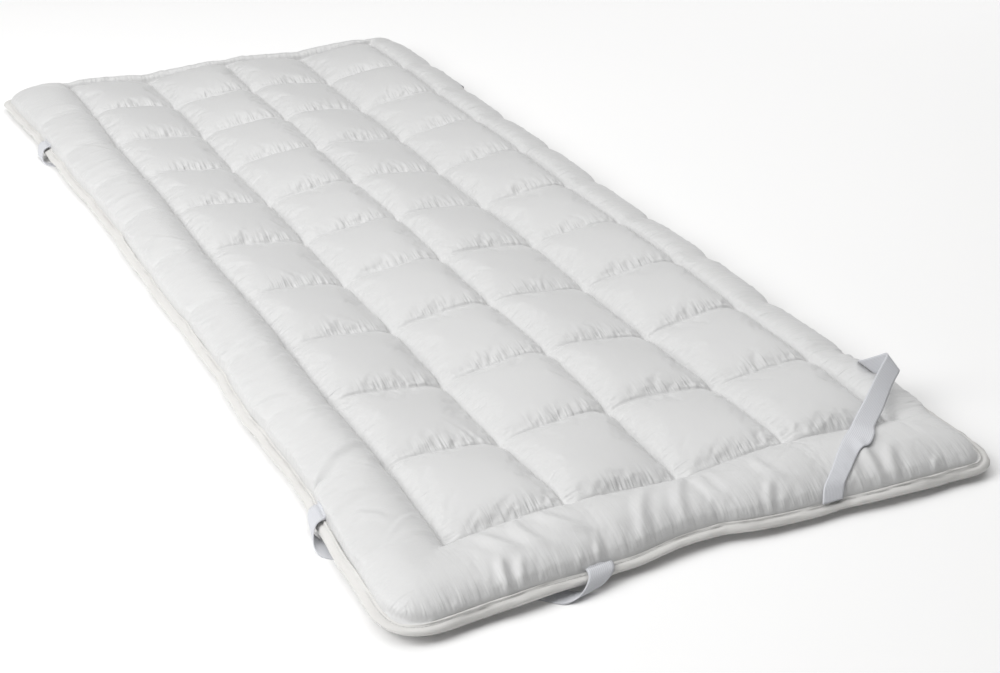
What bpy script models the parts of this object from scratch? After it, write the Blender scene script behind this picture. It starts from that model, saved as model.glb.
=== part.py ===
# Quilted single mattress pad, lying flat, with a bound edge and four elastic corner straps.
# Metres, +Z up. X runs across the pad and Y along it. The origin is on the ground,
# under the middle of the pad.

import math
from collections import namedtuple

import bmesh
import bpy
from mathutils import Vector
from mathutils.bvhtree import BVHTree
from mathutils.geometry import interpolate_bezier

# Quilting: a grid of cells inside a wide filled border
CELL_COLUMNS = 4
CELL_ROWS = 10
PAD_WIDTH = 0.874
PAD_LENGTH = 1.998

# Each side: the border from its seam to the bound edge at the corners, how far the edge
# is drawn in and where (from -1 to 1 along the side), a shorter pull with its own place
# and reach, how far the border swells, and the number of faces across it
Side = namedtuple("Side", "border drawn_in deepest pull pull_at pull_reach swell steps")
LEFT = Side(0.135, 0.026, 0.0, pull=0.007, pull_at=-0.6, pull_reach=0.10, swell=0.026, steps=6)
RIGHT = Side(0.084, 0.005, 0.0, pull=0.0, pull_at=0.0, pull_reach=0.10, swell=0.015, steps=5)
FRONT = Side(0.148, 0.018, -0.3, pull=0.019, pull_at=-0.05, pull_reach=0.20, swell=0.026, steps=6)
BACK = Side(0.052, 0.002, 0.0, pull=0.0, pull_at=0.0, pull_reach=0.20, swell=0.018, steps=5)

# Heights of the filled cloth above the ground
SEAM_HIGH = 0.034
SEAM_LOW = 0.022
SEAM_THICKNESS = 0.016
FRONT_SWAP = 1.8
FRONT_SWAP_REACH = 0.9
CELL_CROWN = 0.020
CROWN_SPREAD = 0.10
CROSS_RISE = 0.42
CROSS_FADE = 0.6
BORDER_WAIST = 0.16
RIM_TOP = 0.0175
RIM_LOW = 0.0095
RIM_WAVE = 0.0012
EDGE_WAVE = 0.0025
SEAM_WANDER = 0.0022

# Where the mesh lines cross one cell, as shares of its width, and how far down the
# underside is drawn to the seam on each of them
CELL_LINES = (0.0, 0.11, 0.34, 0.66, 0.89)
UNDERSIDE_PULL = {0.0: 1.0, 0.11: 0.26, 0.34: 0.0, 0.66: 0.0, 0.89: 0.26}
BORDER_ROUNDING = 6
CORNER_CUT = 0.25

# Edge binding
BINDING_WIDTH = 0.013
BINDING_HEIGHT = 0.0095
BINDING_SIDES = 8
BINDING_SQUARENESS = 3.2
GAP = 0.0003

# Elastic straps, each sewn down on the bound edge at both ends and run across its corner
STRAP_THICKNESS = 0.0016
STRAP_LIE = 0.0024
STRAP_BELOW = 0.0026
STRAP_COLUMNS = 3
STRAP_STEPS = 3
LIFT_MARGIN = 0.13
LAY_REACH = 0.008

# Three straps lie under their corners. Each sewn end has its place along the edge from the
# corner, how far its loop slides towards the corner, how far the loop bulges outside, and
# how late it turns towards the strap's run
End = namedtuple("End", "place slide bulge delay")
Strap = namedtuple("Strap", "name side_x side_y flank cross")
UNDER_STRAPS = (
    Strap("strap_front_left", -1, -1, End(0.2835, 1.0, 1.0, 1.0), End(0.280, 1.0, 1.3, 1.0)),
    Strap("strap_back_left", -1, 1, End(0.313, -0.9, 1.2, 3.0), End(0.297, 0.4, 0.2, 3.0)),
    Strap("strap_back_right", 1, 1, End(0.343, 0.4, 0.2, 3.0), End(0.250, 0.4, 0.2, 3.0)),
)

# The loop at a sewn end, from its seam to the ground: slid along the edge, clear outside
# the binding (below zero: inside its outer face), extra bulge, height as a share of the
# binding's, share of the turn towards the strap's run, and width
Loop = namedtuple("Loop", "slide clear bulge height turn width")
LOOP = (
    Loop(0.000, -0.0173, 0.0000, 1.20, 0.00, 0.037),
    Loop(0.001, -0.0075, 0.0000, 1.12, 0.01, 0.037),
    Loop(0.003, -0.0015, 0.0000, 1.14, 0.03, 0.037),
    Loop(0.009, 0.0022, 0.0010, 0.88, 0.08, 0.036),
    Loop(0.019, 0.0024, 0.0037, 0.54, 0.18, 0.034),
    Loop(0.029, 0.0024, 0.0044, 0.30, 0.29, 0.031),
    Loop(0.039, 0.0010, 0.0034, 0.13, 0.47, 0.029),
    Loop(0.049, -0.0032, 0.0024, 0.03, 0.70, 0.028),
    Loop(0.062, -0.0153, 0.0010, 0.00, 0.95, 0.028),
)

# The fourth is thrown up over its corner: the middle of each section, the heading of its
# width from right edge to left, how far the left edge tips up, and the width
Section = namedtuple("Section", "x y z heading tip width")
OVER_STRAP = (
    Section(0.177, -0.9640, 0.0235, 166, 0, 0.031),
    Section(0.185, -0.9580, 0.0300, 168, 0, 0.032),
    Section(0.197, -0.9470, 0.0405, 174, -3, 0.035),
    Section(0.214, -0.9330, 0.0490, 164, 0, 0.033),
    Section(0.235, -0.9170, 0.0540, 145, 0, 0.028),
    Section(0.259, -0.9030, 0.0550, 131, 7, 0.030),
    Section(0.288, -0.8810, 0.0540, 137, 14, 0.0285),
    Section(0.329, -0.8480, 0.0560, 124, 23, 0.028),
    Section(0.378, -0.8080, 0.0640, 113, 34, 0.0275),
    Section(0.404, -0.7895, 0.0700, 110, 38, 0.028),
    Section(0.409, -0.7820, 0.0690, 110, 40, 0.028),
    Section(0.4015, -0.7660, 0.0575, 114, 41, 0.028),
    Section(0.3965, -0.7500, 0.0465, 118, 36, 0.028),
    Section(0.4010, -0.7370, 0.0405, 110, 20, 0.028),
    Section(0.4090, -0.7290, 0.0345, 98, 6, 0.029),
    Section(0.4165, -0.7260, 0.0265, 91, 0, 0.030),
)

# A station is one mesh line of the pad: its place in cells from the first seam, and its
# share of the border beyond the last seam passed, below zero on the first side
Station = namedtuple("Station", "cell edge")


def clear_scene():
    for obj in list(bpy.data.objects):
        bpy.data.objects.remove(obj, do_unlink=True)


def new_collection(name):
    collection = bpy.data.collections.new(name)
    bpy.context.scene.collection.children.link(collection)
    return collection


def make_material(name, color, roughness, sheen=0.0):
    material = bpy.data.materials.new(name)
    material.use_nodes = True
    shader = material.node_tree.nodes["Principled BSDF"]
    shader.inputs["Base Color"].default_value = (*color, 1.0)
    shader.inputs["Roughness"].default_value = roughness
    shader.inputs["Metallic"].default_value = 0.0
    shader.inputs["Sheen Weight"].default_value = sheen
    return material


def stations(first, cells, last):
    """The mesh lines across the pad in one direction, from edge to edge."""
    lines = [Station(0.0, -1.0 + k / first.steps) for k in range(first.steps)]
    lines += [Station(cell + share, 0.0) for cell in range(cells) for share in CELL_LINES]
    lines.append(Station(float(cells), 0.0))
    lines += [Station(float(cells), (k + 1) / last.steps) for k in range(last.steps)]
    return lines


def swell(share, sharpness=2.6, fullness=0.55):
    """Rises from 0 at a seam to 1 halfway and back, steepest beside the seam."""
    return max(0.0, 1.0 - abs(2.0 * share - 1.0) ** sharpness) ** fullness


def waist(cell):
    """1 beside a cross seam's end and 0 between two of them."""
    off = cell - round(cell)
    return math.exp(-((off / 0.13) ** 2))


def seam_height(across, along):
    """Top of the seams: lengthwise seams lie high and low by turns, swapped at the front."""
    middle = (SEAM_HIGH + SEAM_LOW) / 2.0
    turn = 1.0 - FRONT_SWAP * math.exp(-((along / FRONT_SWAP_REACH) ** 2))
    return middle + turn * (SEAM_HIGH - SEAM_LOW) / 2.0 * math.cos(math.pi * across)


def crown_height(column, row):
    """Fill differs a little from cell to cell."""
    return CELL_CROWN * (1.0 + CROWN_SPREAD * math.sin(2.3 * column + 4.1 * row))


def cell_fill(across, along):
    """Share of the crown: the cross seams between cells draw it down less than the long ones."""
    from_ends = min(along.cell, CELL_ROWS - along.cell) / CROSS_FADE
    rise = CROSS_RISE * min(1.0, from_ends)
    return swell(across.cell % 1.0) * (rise + (1.0 - rise) * swell(along.cell % 1.0))


def edge_share(across, along):
    """Share of the border at a point, run round the corners as one tube."""
    reach = abs(across.edge) ** BORDER_ROUNDING + abs(along.edge) ** BORDER_ROUNDING
    return min(1.0, reach ** (1.0 / BORDER_ROUNDING))


def rim_height(across, along, level):
    wave = math.sin(2.4 * along.cell + 1.1) + math.sin(3.7 * across.cell + 0.5)
    return level + RIM_WAVE * wave


def top_height(across, along):
    base = seam_height(across.cell, along.cell)
    share = edge_share(across, along)
    if share == 0.0:
        crown = crown_height(int(across.cell), int(along.cell))
        return base + crown * cell_fill(across, along)
    side_across = LEFT if across.edge < 0.0 else RIGHT
    side_along = FRONT if along.edge < 0.0 else BACK
    pull_across = across.edge**2
    pull_along = along.edge**2
    total = pull_across + pull_along
    height = (side_across.swell * pull_across + side_along.swell * pull_along) / total
    beside = (waist(along.cell) * pull_across + waist(across.cell) * pull_along) / total
    height *= 1.0 - BORDER_WAIST * beside
    rim = rim_height(across, along, RIM_TOP)
    return base * (1.0 - share) + rim * share + height * swell(share, 2.2, 0.6)


def under_pull(station):
    return UNDERSIDE_PULL.get(round(station.cell % 1.0, 2), 0.0)


def under_height(across, along, lifted):
    """Flat on the ground under each cell, drawn up at the seams and at the rim."""
    seam = seam_height(across.cell, along.cell) - SEAM_THICKNESS
    share = edge_share(across, along)
    if share == 0.0:
        height = seam * max(under_pull(across), under_pull(along))
    elif share < 1.0:
        height = RIM_LOW * max(0.0, share - 0.72) / 0.56
    else:
        height = rim_height(across, along, RIM_LOW)
    return max(height, STRAP_BELOW) if lifted else height


def drawn_in(side, place):
    """How far a side is pulled inwards at a place along it, from -1 to 1."""
    reach = 1.0 - side.deepest if place > side.deepest else 1.0 + side.deepest
    whole = side.drawn_in * (1.0 - min(1.0, abs(place - side.deepest) / reach) ** 2.5)
    return whole + side.pull * math.exp(-(((place - side.pull_at) / side.pull_reach) ** 2))


def plan_place(across, along):
    """X and Y of the point where two mesh lines cross, before centring."""
    edging = BINDING_WIDTH + GAP
    cell_width = (PAD_WIDTH - LEFT.border - RIGHT.border) / CELL_COLUMNS
    cell_length = (PAD_LENGTH - FRONT.border - BACK.border) / CELL_ROWS
    x = -PAD_WIDTH / 2.0 + LEFT.border + across.cell * cell_width
    y = -PAD_LENGTH / 2.0 + FRONT.border + along.cell * cell_length
    # The cut round the corner leaves the border's full width along the straight sides
    reach_x = across.edge * math.sqrt(1.0 - CORNER_CUT * abs(along.edge) ** BORDER_ROUNDING)
    reach_y = along.edge * math.sqrt(1.0 - CORNER_CUT * abs(across.edge) ** BORDER_ROUNDING)
    side_x = LEFT if across.edge < 0.0 else RIGHT
    side_y = FRONT if along.edge < 0.0 else BACK
    flat_x = x + reach_x * (side_x.border - edging)
    flat_y = y + reach_y * (side_y.border - edging)
    pull_x = drawn_in(side_x, 2.0 * flat_y / PAD_LENGTH) + EDGE_WAVE * waist(along.cell)
    pull_y = drawn_in(side_y, 2.0 * flat_x / PAD_WIDTH) + EDGE_WAVE * waist(across.cell)
    wander_x = SEAM_WANDER * math.sin(2.2 * along.cell + 1.7 * across.cell)
    wander_y = SEAM_WANDER * math.sin(2.9 * across.cell + 1.3 * along.cell)
    return (flat_x - reach_x * pull_x + wander_x, flat_y - reach_y * pull_y + wander_y)


ACROSS = stations(LEFT, CELL_COLUMNS, RIGHT)
ALONG = stations(FRONT, CELL_ROWS, BACK)


def rim_stations():
    """The pad's outline, anticlockwise from the front left corner."""
    ring = [(across, ALONG[0]) for across in ACROSS[:-1]]
    ring += [(ACROSS[-1], along) for along in ALONG[:-1]]
    ring += [(across, ALONG[-1]) for across in ACROSS[:0:-1]]
    ring += [(ACROSS[0], along) for along in ALONG[:0:-1]]
    return ring


def pad_centre():
    places = [plan_place(*pair) for pair in rim_stations()]
    middle_x = (min(p[0] for p in places) + max(p[0] for p in places)) / 2.0
    middle_y = (min(p[1] for p in places) + max(p[1] for p in places)) / 2.0
    return middle_x, middle_y


CENTRE_X, CENTRE_Y = pad_centre()


def centred_place(across, along):
    x, y = plan_place(across, along)
    return x - CENTRE_X, y - CENTRE_Y


def landing(end):
    """How far from its corner a strap's loop reaches the ground and its run begins."""
    return end.place - LOOP[-1].slide * end.slide


def over_strap(x, y):
    """Whether the underside at this point lies over a strap, and so is lifted by it."""
    for strap in UNDER_STRAPS:
        in_x = PAD_WIDTH / 2.0 - x * strap.side_x
        in_y = PAD_LENGTH / 2.0 - y * strap.side_y
        reach_x = in_x / (landing(strap.cross) + LIFT_MARGIN)
        reach_y = in_y / (landing(strap.flank) + LIFT_MARGIN)
        if reach_x + reach_y < 1.0:
            return True
    return False


def build_pad(collection, material):
    """A grid sheet and its extruded copy, placed as the top and the underside."""
    bm = bmesh.new()
    columns = len(ACROSS) - 1
    rows = len(ALONG) - 1
    bmesh.ops.create_grid(bm, x_segments=columns, y_segments=rows, size=1.0)
    top = list(bm.verts)
    grown = bmesh.ops.extrude_face_region(bm, geom=bm.faces[:], use_keep_orig=True)
    under = [item for item in grown["geom"] if isinstance(item, bmesh.types.BMVert)]
    for verts, is_top in ((top, True), (under, False)):
        for vert in verts:
            across = ACROSS[round((vert.co.x + 1.0) / 2.0 * columns)]
            along = ALONG[round((vert.co.y + 1.0) / 2.0 * rows)]
            x, y = centred_place(across, along)
            if is_top:
                z = top_height(across, along)
            else:
                z = under_height(across, along, over_strap(x, y))
            vert.co = (x, y, z)
    bmesh.ops.recalc_face_normals(bm, faces=bm.faces[:])
    mesh = bpy.data.meshes.new("quilted_pad")
    bm.to_mesh(mesh)
    bm.free()
    mesh.shade_smooth()
    mesh.set_sharp_from_angle(angle=math.radians(50))
    pad = bpy.data.objects.new("quilted_pad", mesh)
    pad.data.materials.append(material)
    collection.objects.link(pad)
    return pad


def binding_profile(collection):
    """Section of the binding: an upright oval with nearly straight sides."""
    curve = bpy.data.curves.new("binding_profile", "CURVE")
    curve.dimensions = "2D"
    spline = curve.splines.new("POLY")
    spline.points.add(BINDING_SIDES - 1)
    for index, point in enumerate(spline.points):
        angle = -2.0 * math.pi * (index + 0.5) / BINDING_SIDES
        point.co = (
            oval(math.cos(angle)) * BINDING_WIDTH / 2.0,
            oval(math.sin(angle)) * BINDING_HEIGHT / 2.0,
            0.0,
            1.0,
        )
    spline.use_cyclic_u = True
    profile = bpy.data.objects.new("binding_profile", curve)
    profile.hide_render = True
    profile.display_type = "WIRE"
    collection.objects.link(profile)
    return profile


def oval(value):
    return math.copysign(abs(value) ** (2.0 / BINDING_SQUARENESS), value)


def build_binding(collection, guides, material):
    """The folded tape round the edge: an oval section run round the pad's rim."""
    flat_side = oval(math.cos(math.pi / BINDING_SIDES)) * BINDING_WIDTH / 2.0
    ring = rim_stations()
    places = [centred_place(*pair) for pair in ring]
    curve = bpy.data.curves.new("edge_binding", "CURVE")
    curve.dimensions = "3D"
    curve.twist_mode = "Z_UP"
    curve.bevel_mode = "OBJECT"
    curve.bevel_object = binding_profile(guides)
    spline = curve.splines.new("POLY")
    spline.points.add(len(places) - 1)
    for index, point in enumerate(spline.points):
        before = places[index - 1]
        here = places[index]
        after = places[(index + 1) % len(places)]
        run = (after[0] - before[0], after[1] - before[1])
        scale = (flat_side + GAP) / math.hypot(*run)
        height = rim_height(*ring[index], (RIM_TOP + RIM_LOW) / 2.0)
        point.co = (here[0] + run[1] * scale, here[1] - run[0] * scale, height, 1.0)
    spline.use_cyclic_u = True
    binding = bpy.data.objects.new("edge_binding", curve)
    binding.data.materials.append(material)
    collection.objects.link(binding)
    return binding


def edge_place(strap, on_flank, place):
    """The rim's X, Y and Z at a distance from the strap's corner, along one of its edges."""
    if on_flank:
        edge = [(ACROSS[0 if strap.side_x < 0 else -1], along) for along in ALONG]
        target = strap.side_y * (PAD_LENGTH / 2.0 - place)
    else:
        edge = [(across, ALONG[0 if strap.side_y < 0 else -1]) for across in ACROSS]
        target = strap.side_x * (PAD_WIDTH / 2.0 - place)
    axis = 1 if on_flank else 0
    points = [Vector((*centred_place(*pair), rim_height(*pair, RIM_TOP))) for pair in edge]
    for here, there in zip(points, points[1:]):
        if here[axis] <= target < there[axis]:
            return here.lerp(there, (target - here[axis]) / (there[axis] - here[axis]))
    return points[-1]


def loop_sections(strap, on_flank, run_turn):
    """The sections of one sewn end as pairs of points: far edge, then corner-side edge."""
    end = strap.flank if on_flank else strap.cross
    outward = Vector((strap.side_x, 0, 0)) if on_flank else Vector((0, strap.side_y, 0))
    ground = STRAP_THICKNESS / 2.0
    sections = []
    for row in LOOP:
        turn = row.turn**end.delay * run_turn
        clear = row.clear + row.bulge * end.bulge
        pair = []
        for side in (1, -1):
            half = side * row.width / 2.0
            place = end.place - row.slide * end.slide + half * math.cos(turn)
            rim = edge_place(strap, on_flank, place)
            out = BINDING_WIDTH + GAP + clear - half * math.sin(turn)
            point = rim + outward * out
            point.z = ground + row.height * (rim.z - ground)
            pair.append(point)
        sections.append(pair)
    return sections


def under_strap_sections(strap):
    """From the seam on the long edge, under the corner, to the seam on the short edge."""
    turn = math.atan2(landing(strap.cross), landing(strap.flank))
    flank = loop_sections(strap, True, turn)
    cross = loop_sections(strap, False, math.pi / 2.0 - turn)
    return flank + cross[::-1]


def over_strap_sections():
    sections = []
    for row in OVER_STRAP:
        heading = math.radians(row.heading)
        tip = math.radians(row.tip)
        level = Vector((math.cos(heading), math.sin(heading), 0.0))
        half = (level * math.cos(tip) + Vector((0, 0, math.sin(tip)))) * row.width / 2.0
        middle = Vector((row.x, row.y, row.z))
        sections.append((middle - half, middle + half))
    return sections


def smooth_run(points, steps):
    """A smooth line through the points, with the same number of steps between each two."""
    ends = [points[0], *points, points[-1]]
    heads = []
    for before, here, after in zip(ends, ends[1:], ends[2:]):
        heads.append(((here - before).normalized() + (after - here).normalized()).normalized())
    spans = [(there - here).length for here, there in zip(points, points[1:])]
    spans = [spans[0], *spans, spans[-1]]
    run = []
    for index in range(len(points) - 1):
        start = points[index]
        stop = points[index + 1]
        leave = start + heads[index] * min(spans[index : index + 2]) / 3.0
        arrive = stop - heads[index + 1] * min(spans[index + 1 : index + 3]) / 3.0
        run += interpolate_bezier(start, leave, arrive, stop, steps + 1)[:-1]
    return run + [points[-1]]


def surface_of(objects):
    """The finished surface of these objects, to measure heights on."""
    graph = bpy.context.evaluated_depsgraph_get()
    shape = bmesh.new()
    for obj in objects:
        shape.from_mesh(obj.evaluated_get(graph).to_mesh())
        obj.evaluated_get(graph).to_mesh_clear()
    surface = BVHTree.FromBMesh(shape)
    shape.free()
    return surface


def laid_on(surface, point):
    """The point, raised clear of the ground, and of the pad where it lies on it."""
    floor = STRAP_THICKNESS / 2.0
    below = surface.ray_cast(Vector((point.x, point.y, 1.0)), Vector((0, 0, -1)))[0]
    if below is not None and below.z - point.z < LAY_REACH:
        floor = below.z + STRAP_LIE
    return Vector((point.x, point.y, max(point.z, floor)))


def build_strap(name, sections, surface, collection, material):
    """A flat band through the sections: a grid sheet, placed between the band's two edges."""
    far_edge = smooth_run([pair[0] for pair in sections], STRAP_STEPS)
    near_edge = smooth_run([pair[1] for pair in sections], STRAP_STEPS)
    rows = len(far_edge) - 1
    bm = bmesh.new()
    bmesh.ops.create_grid(bm, x_segments=STRAP_COLUMNS, y_segments=rows, size=1.0)
    for vert in bm.verts:
        row = round((vert.co.y + 1.0) / 2.0 * rows)
        vert.co = laid_on(surface, far_edge[row].lerp(near_edge[row], (vert.co.x + 1.0) / 2.0))
    mesh = bpy.data.meshes.new(name)
    bm.to_mesh(mesh)
    bm.free()
    mesh.shade_smooth()
    mesh.materials.append(material)
    strap = bpy.data.objects.new(name, mesh)
    thicken = strap.modifiers.new("thickness", "SOLIDIFY")
    thicken.thickness = STRAP_THICKNESS
    thicken.offset = 0.0
    collection.objects.link(strap)


def main():
    clear_scene()
    parts = new_collection("mattress_pad")
    guides = new_collection("guides")
    cloth = make_material("pad_cloth", (0.84, 0.84, 0.835), 0.55, sheen=0.3)
    tape = make_material("binding_tape", (0.83, 0.82, 0.79), 0.6)
    elastic = make_material("strap_elastic", (0.72, 0.73, 0.76), 0.7)
    pad = build_pad(parts, cloth)
    binding = build_binding(parts, guides, tape)
    surface = surface_of((pad, binding))
    for strap in UNDER_STRAPS:
        build_strap(strap.name, under_strap_sections(strap), surface, parts, elastic)
    build_strap("strap_front_right", over_strap_sections(), surface, parts, elastic)


main()
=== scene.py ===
import math

import bmesh
import bpy
import numpy as np
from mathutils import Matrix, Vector
from mathutils.bvhtree import BVHTree
from mathutils.geometry import interpolate_bezier


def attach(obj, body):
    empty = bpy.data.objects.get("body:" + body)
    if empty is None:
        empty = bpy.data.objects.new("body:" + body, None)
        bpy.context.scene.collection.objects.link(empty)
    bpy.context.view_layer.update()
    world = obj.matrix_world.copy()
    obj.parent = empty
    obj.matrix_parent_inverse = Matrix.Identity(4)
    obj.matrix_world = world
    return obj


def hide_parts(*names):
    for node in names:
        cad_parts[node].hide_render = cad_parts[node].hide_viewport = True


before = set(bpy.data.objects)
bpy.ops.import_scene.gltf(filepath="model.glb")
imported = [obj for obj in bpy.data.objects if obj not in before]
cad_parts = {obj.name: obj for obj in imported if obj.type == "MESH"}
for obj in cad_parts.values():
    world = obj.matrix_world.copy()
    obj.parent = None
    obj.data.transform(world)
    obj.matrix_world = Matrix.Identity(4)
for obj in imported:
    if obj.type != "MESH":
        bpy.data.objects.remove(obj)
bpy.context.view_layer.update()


# helpers for all pieces

def nothingSelected():
    if bpy.context.mode != "OBJECT":
        bpy.ops.object.mode_set(mode="OBJECT")
    bpy.ops.object.select_all(action="DESELECT")


def makeActive(piece):
    nothingSelected()
    piece.select_set(True)
    bpy.context.view_layer.objects.active = piece


def applyAll(piece):
    makeActive(piece)
    for modifier in list(piece.modifiers):
        bpy.ops.object.modifier_apply(modifier=modifier.name)


def named(piece, name):
    piece.name = piece.data.name = name
    return piece


def gridSheet(name, columns, rows, places):
    # a grid of this many squares, its points moved to the given places (rows, columns, 3)
    nothingSelected()
    bpy.ops.mesh.primitive_grid_add(x_subdivisions=columns, y_subdivisions=rows, size=2)
    piece = named(bpy.context.object, name)
    setPlaces(piece, places)
    return piece


def setPlaces(piece, places):
    piece.data.vertices.foreach_set("co", np.ascontiguousarray(places, np.float32).ravel())
    piece.data.update()


def readPlaces(piece):
    places = np.empty(len(piece.data.vertices) * 3, np.float32)
    piece.data.vertices.foreach_get("co", places)
    return places.reshape(-1, 3).astype(float)


def joined(name, pieces):
    nothingSelected()
    for piece in pieces:
        piece.select_set(True)
    bpy.context.view_layer.objects.active = pieces[0]
    bpy.ops.object.join()
    return named(bpy.context.object, name)


def addFinish(piece, material):
    piece.data.materials.clear()
    piece.data.materials.append(material)
    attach(piece, "root")


# camera, at the angle of the photo
cameraView = {"lens": 61.6, "azimuth": -26.55, "elevation": 27.44, "distance": 2.569,
              "target": (0.0182, -0.3562, 0.0)}


def addCamera(setup):
    turn = math.radians(setup["azimuth"])
    rise = math.radians(setup["elevation"])
    back = Vector((math.sin(turn) * math.cos(rise), -math.cos(turn) * math.cos(rise),
                   math.sin(rise)))
    place = Vector(setup["target"]) + back * setup["distance"]
    nothingSelected()
    bpy.ops.object.camera_add(location=place, rotation=back.to_track_quat("Z", "Y").to_euler())
    camera = bpy.context.object
    camera.name = "view"
    camera.data.lens = setup["lens"]
    camera.data.sensor_width = 36
    camera.data.clip_start = 0.05
    bpy.context.scene.camera = camera


addCamera(cameraView)
print("camera set")


# the pad's lines, as in the CAD: each side's border from its seam to the bound edge, how far
# the edge is drawn in and where, how far it swells, and the mesh lines across it
padSides = {
    "left": {"border": 0.135, "drawnIn": 0.026, "deepest": 0.0, "pull": 0.007,
             "pullAt": -0.6, "pullReach": 0.10, "swell": 0.026, "waist": 0.05, "bulge": 0.009,
             "lines": 44},
    "right": {"border": 0.084, "drawnIn": 0.005, "deepest": 0.0, "pull": 0.0,
              "pullAt": 0.0, "pullReach": 0.10, "swell": 0.018, "waist": 0.18, "bulge": 0.007,
              "lines": 26},
    "front": {"border": 0.148, "drawnIn": 0.018, "deepest": -0.3, "pull": 0.019,
              "pullAt": -0.05, "pullReach": 0.20, "swell": 0.026, "waist": 0.07, "bulge": 0.003,
              "lines": 50},
    "back": {"border": 0.052, "drawnIn": 0.002, "deepest": 0.0, "pull": 0.0,
             "pullAt": 0.0, "pullReach": 0.20, "swell": 0.018, "waist": 0.16, "bulge": 0.004,
             "lines": 18},
}
padForm = {
    "columns": 4, "rows": 10, "width": 0.874, "length": 1.998,
    "centre": (0.00243, 0.00280),
    "linesPerCell": 64, "lineSqueeze": 0.15,
    "seamHigh": 0.034, "seamLow": 0.022, "frontSwap": 1.8, "swapReach": 0.9,
    "crown": 0.020, "crownSpread": 0.10, "crownWaves": (2.3, 4.1),
    "crossRise": 0.42, "riseReach": 0.6, "borderCurve": (2.2, 0.6),
    "crossingDip": 0.0045, "dipReach": 0.09, "dipOnBorder": 0.1, "waistReach": 0.13,
    "bulgeAt": 0.90, "bulgeReach": 0.16, "bulgeStop": 0.10, "notch": 0.8, "notchReach": 0.05,
    "rimTop": 0.0175, "rimLow": 0.0095, "rimWave": 0.0012, "rimWaves": (2.4, 1.1, 3.7, 0.5),
    "edgeWave": 0.0025, "edgeCurve": 2.5,
    "seamWander": 0.0022, "wanderX": (2.2, 1.7), "wanderY": (2.9, 1.3),
    "rounding": 6, "cornerCut": 0.25, "edging": 0.0133,
    "seamThickness": 0.016, "underReach": 0.08, "underFade": 0.024,
    "underSeam": 0.12, "underRim": 0.72, "underCurve": 1.6, "strapRoom": 0.0026,
}


def meshLines(first, cells, last):
    # every mesh line one way: its place in cells, and its share of a border beyond the seams
    count = padForm["linesPerCell"]
    even = np.arange(count) / count
    share = even - padForm["lineSqueeze"] * np.sin(2 * math.pi * even) / (2 * math.pi)
    inside = (np.arange(cells)[:, None] + share[None, :]).ravel()
    before = -1 + np.arange(first["lines"]) / first["lines"]
    after = (np.arange(last["lines"]) + 1) / last["lines"]
    cell = np.concatenate([0 * before, inside, [cells], cells + 0 * after])
    edge = np.concatenate([before, 0 * inside, [0], after])
    return cell, edge


def swell(share, sharpness=2.6, fullness=0.55):
    return np.maximum(0, 1 - np.abs(2 * share - 1) ** sharpness) ** fullness


def waist(cell):
    return np.exp(-((cell - np.round(cell)) / padForm["waistReach"]) ** 2)


def bySide(edge, first, last, key):
    return np.where(edge < 0, padSides[first][key], padSides[last][key])


def drawnIn(first, last, edge, place):
    deepest = bySide(edge, first, last, "deepest")
    reach = np.where(place > deepest, 1 - deepest, 1 + deepest)
    curve = 1 - np.minimum(1, np.abs(place - deepest) / reach) ** padForm["edgeCurve"]
    pull, at, reach = (bySide(edge, first, last, key) for key in ("pull", "pullAt", "pullReach"))
    pull = pull * np.exp(-((place - at) / reach) ** 2)
    return bySide(edge, first, last, "drawnIn") * curve + pull


def padPlace(cellX, edgeX, cellY, edgeY):
    form = padForm
    left, right = padSides["left"]["border"], padSides["right"]["border"]
    front, back = padSides["front"]["border"], padSides["back"]["border"]
    x = -form["width"] / 2 + left + cellX * (form["width"] - left - right) / form["columns"]
    y = -form["length"] / 2 + front + cellY * (form["length"] - front - back) / form["rows"]
    cut, power = form["cornerCut"], form["rounding"]
    reachX = edgeX * np.sqrt(1 - cut * np.abs(edgeY) ** power)
    reachY = edgeY * np.sqrt(1 - cut * np.abs(edgeX) ** power)
    flatX = x + reachX * (bySide(edgeX, "left", "right", "border") - form["edging"])
    flatY = y + reachY * (bySide(edgeY, "front", "back", "border") - form["edging"])
    pullX = drawnIn("left", "right", edgeX, 2 * flatY / form["length"])
    pullY = drawnIn("front", "back", edgeY, 2 * flatX / form["width"])
    pullX = pullX + form["edgeWave"] * waist(cellY)
    pullY = pullY + form["edgeWave"] * waist(cellX)
    wanderX = form["seamWander"] * np.sin(form["wanderX"][0] * cellY + form["wanderX"][1] * cellX)
    wanderY = form["seamWander"] * np.sin(form["wanderY"][0] * cellX + form["wanderY"][1] * cellY)
    return (flatX - reachX * pullX + wanderX - form["centre"][0],
            flatY - reachY * pullY + wanderY - form["centre"][1])


def edgeShare(edgeX, edgeY):
    power = padForm["rounding"]
    return np.minimum(1, (np.abs(edgeX) ** power + np.abs(edgeY) ** power) ** (1 / power))


def rimHeight(cellX, cellY, level):
    rateY, startY, rateX, startX = padForm["rimWaves"]
    wave = np.sin(rateY * cellY + startY) + np.sin(rateX * cellX + startX)
    return level + padForm["rimWave"] * wave


def seamHeight(cellX, cellY):
    form = padForm
    turn = 1 - form["frontSwap"] * np.exp(-(cellY / form["swapReach"]) ** 2)
    middle = (form["seamHigh"] + form["seamLow"]) / 2
    return middle + turn * (form["seamHigh"] - form["seamLow"]) / 2 * np.cos(math.pi * cellX)


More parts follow.
